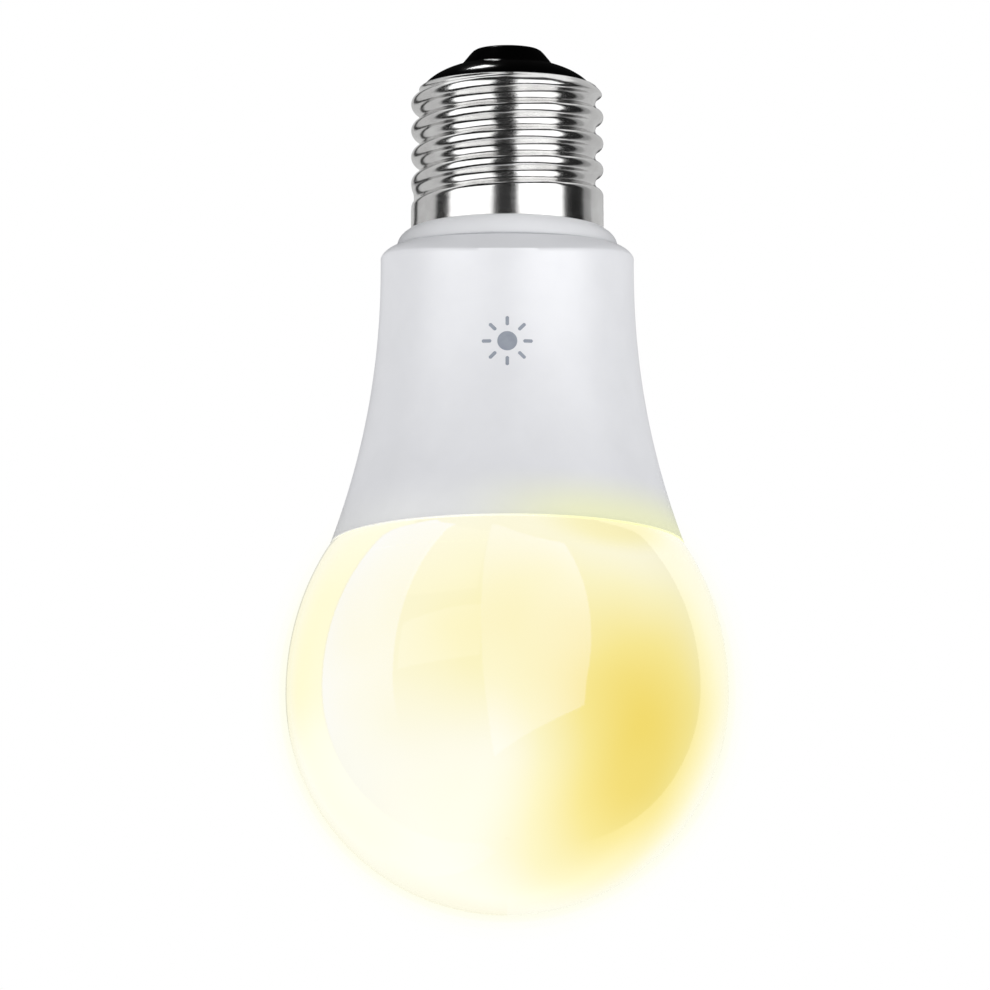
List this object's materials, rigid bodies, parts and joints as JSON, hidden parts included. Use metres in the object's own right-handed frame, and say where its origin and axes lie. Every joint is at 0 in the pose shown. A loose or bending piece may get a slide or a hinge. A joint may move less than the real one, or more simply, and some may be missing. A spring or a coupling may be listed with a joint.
{
  "type": "smart light bulb",
  "caption": "Screw-cap smart light bulb: metal Edison thread, sloping white collar, flared white housing and a round milky globe that glows warm, hanging cap-up.",
  "frame": {"origin": "centre of the cap's rim, in the plane where the metal shell stands on the white collar", "axes": "+Z along the lamp's axis, out of the cap towards the centre contact; +X to the right when the printed mark faces the viewer, who looks along +Y"},
  "size_m": [0.06, 0.06, 0.1186],
  "materials": {
    "nickel_plate": "polished nickel plating with fine wear",
    "contact_metal": "satin nickel",
    "black_insulator": "glossy black",
    "collar_plastic": "fine satin white",
    "housing_plastic": "satin bluish white",
    "diffuser": "milky, glossy, lit warm from inside",
    "aluminium_liner": "satin spun aluminium",
    "thermal_pad": "matt grey silicone",
    "white_solder_mask": "white solder mask on aluminium",
    "led_phosphor": "yellow phosphor in a white frame",
    "screw_steel": "zinc-plated steel",
    "white_silicone": "cured silicone",
    "green_board": "green solder mask",
    "capacitor_sleeve": "shrunk dark sleeve",
    "film_capacitor_case": "moulded ochre case",
    "ferrite": "dull dark ferrite",
    "copper_wire": "enamelled copper",
    "winding_tape": "yellow polyester tape",
    "black_moulding": "moulded black",
    "resistor_coating": "blue lacquer",
    "surface_part": "tan ceramic with tinned ends",
    "shield_tin": "tinned steel",
    "antenna_ceramic": "white ceramic",
    "red_insulation": "red silicone insulation",
    "blue_insulation": "blue silicone insulation"
  },
  "bodies": {
    "root": {"centre_contact": "contact_metal", "cap_insulator": "black_insulator", "screw_shell": "nickel_plate", "driver_cup": "collar_plastic", "driver_cup_lid": "collar_plastic", "housing": "housing_plastic", "heat_sink": "aluminium_liner", "thermal_pad": "thermal_pad", "led_board": "white_solder_mask", "leds": "led_phosphor", "led_board_screws": "screw_steel", "globe": "diffuser", "globe_adhesive": "white_silicone", "driver_board": "green_board", "input_capacitor": "capacitor_sleeve", "output_capacitor": "capacitor_sleeve", "film_capacitor": "film_capacitor_case", "choke_core": "ferrite", "choke_winding": "copper_wire", "transformer_core": "ferrite", "transformer_bobbin": "black_moulding", "transformer_winding": "winding_tape", "fusible_resistor": "resistor_coating", "bridge_rectifier": "black_moulding", "controller_ic": "black_moulding", "output_diode": "black_moulding", "surface_parts": "surface_part", "radio_board": "green_board", "radio_shield": "shield_tin", "radio_antenna": "antenna_ceramic", "board_header": "black_moulding", "live_lead": "red_insulation", "neutral_lead": "blue_insulation", "led_leads": "red_insulation"}
  },
  "joints": []
}
